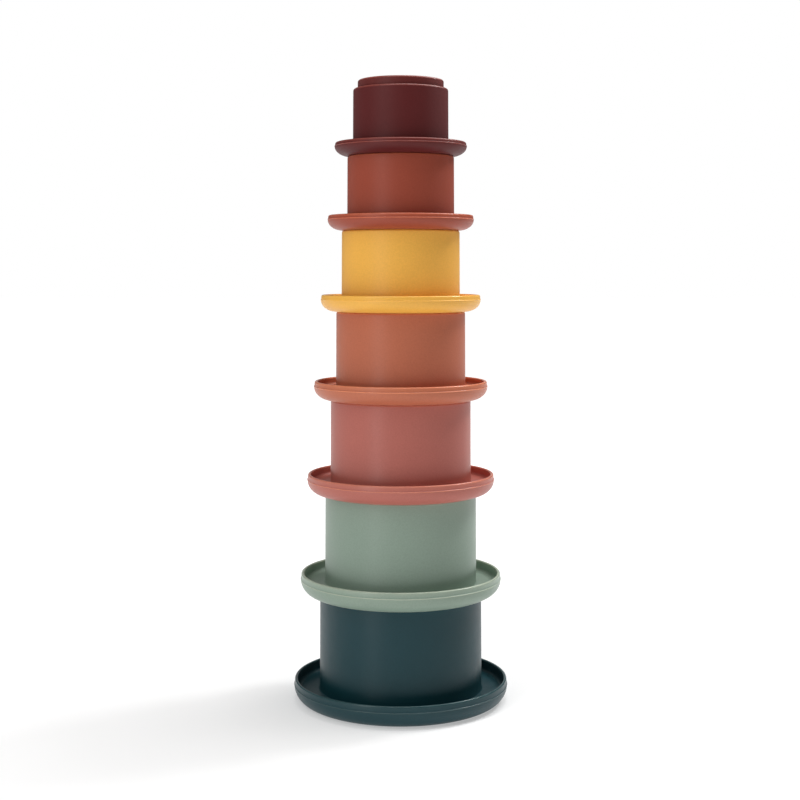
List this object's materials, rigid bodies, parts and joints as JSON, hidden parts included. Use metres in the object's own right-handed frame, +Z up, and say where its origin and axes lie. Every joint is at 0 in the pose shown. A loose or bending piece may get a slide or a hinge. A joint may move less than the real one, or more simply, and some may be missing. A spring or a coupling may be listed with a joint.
{
  "type": "stacking tower toy",
  "caption": "Tapering tower of flanged cups standing mouth down, each seated on the round boss of the next larger cup and free to lift off.",
  "frame": {"origin": "centre of the tower on the surface it stands on, in the plane of the largest cup's land", "axes": "+Z up along the tower's axis, from the largest cup to the smallest; X and Y are equivalent, because every cup is round"},
  "size_m": [0.136, 0.136, 0.3888],
  "materials": {
    "teal_plastic": "satin moulded polyethylene, dark teal",
    "sage_plastic": "satin moulded polyethylene, sage green",
    "rose_plastic": "satin moulded polyethylene, dusty rose",
    "terracotta_plastic": "satin moulded polyethylene, terracotta",
    "mustard_plastic": "satin moulded polyethylene, mustard yellow",
    "rust_plastic": "satin moulded polyethylene, rust red",
    "burgundy_plastic": "satin moulded polyethylene, dark burgundy"
  },
  "bodies": {
    "teal": {"teal_cup": "teal_plastic"},
    "sage": {"sage_cup": "sage_plastic"},
    "rose": {"rose_cup": "rose_plastic"},
    "terracotta": {"terracotta_cup": "terracotta_plastic"},
    "mustard": {"mustard_cup": "mustard_plastic"},
    "rust": {"rust_cup": "rust_plastic"},
    "burgundy": {"burgundy_cup": "burgundy_plastic"}
  },
  "joints": [
    {"name": "sage_lift", "type": "slide", "parent": "teal", "child": "sage", "axis": [0, 0, 1], "range_m": [0, 0.04]},
    {"name": "rose_lift", "type": "slide", "parent": "sage", "child": "rose", "axis": [0, 0, 1], "range_m": [0, 0.04]},
    {"name": "terracotta_lift", "type": "slide", "parent": "rose", "child": "terracotta", "axis": [0, 0, 1], "range_m": [0, 0.04]},
    {"name": "mustard_lift", "type": "slide", "parent": "terracotta", "child": "mustard", "axis": [0, 0, 1], "range_m": [0, 0.04]},
    {"name": "rust_lift", "type": "slide", "parent": "mustard", "child": "rust", "axis": [0, 0, 1], "range_m": [0, 0.04]},
    {"name": "burgundy_lift", "type": "slide", "parent": "rust", "child": "burgundy", "axis": [0, 0, 1], "range_m": [0, 0.04]}
  ]
}
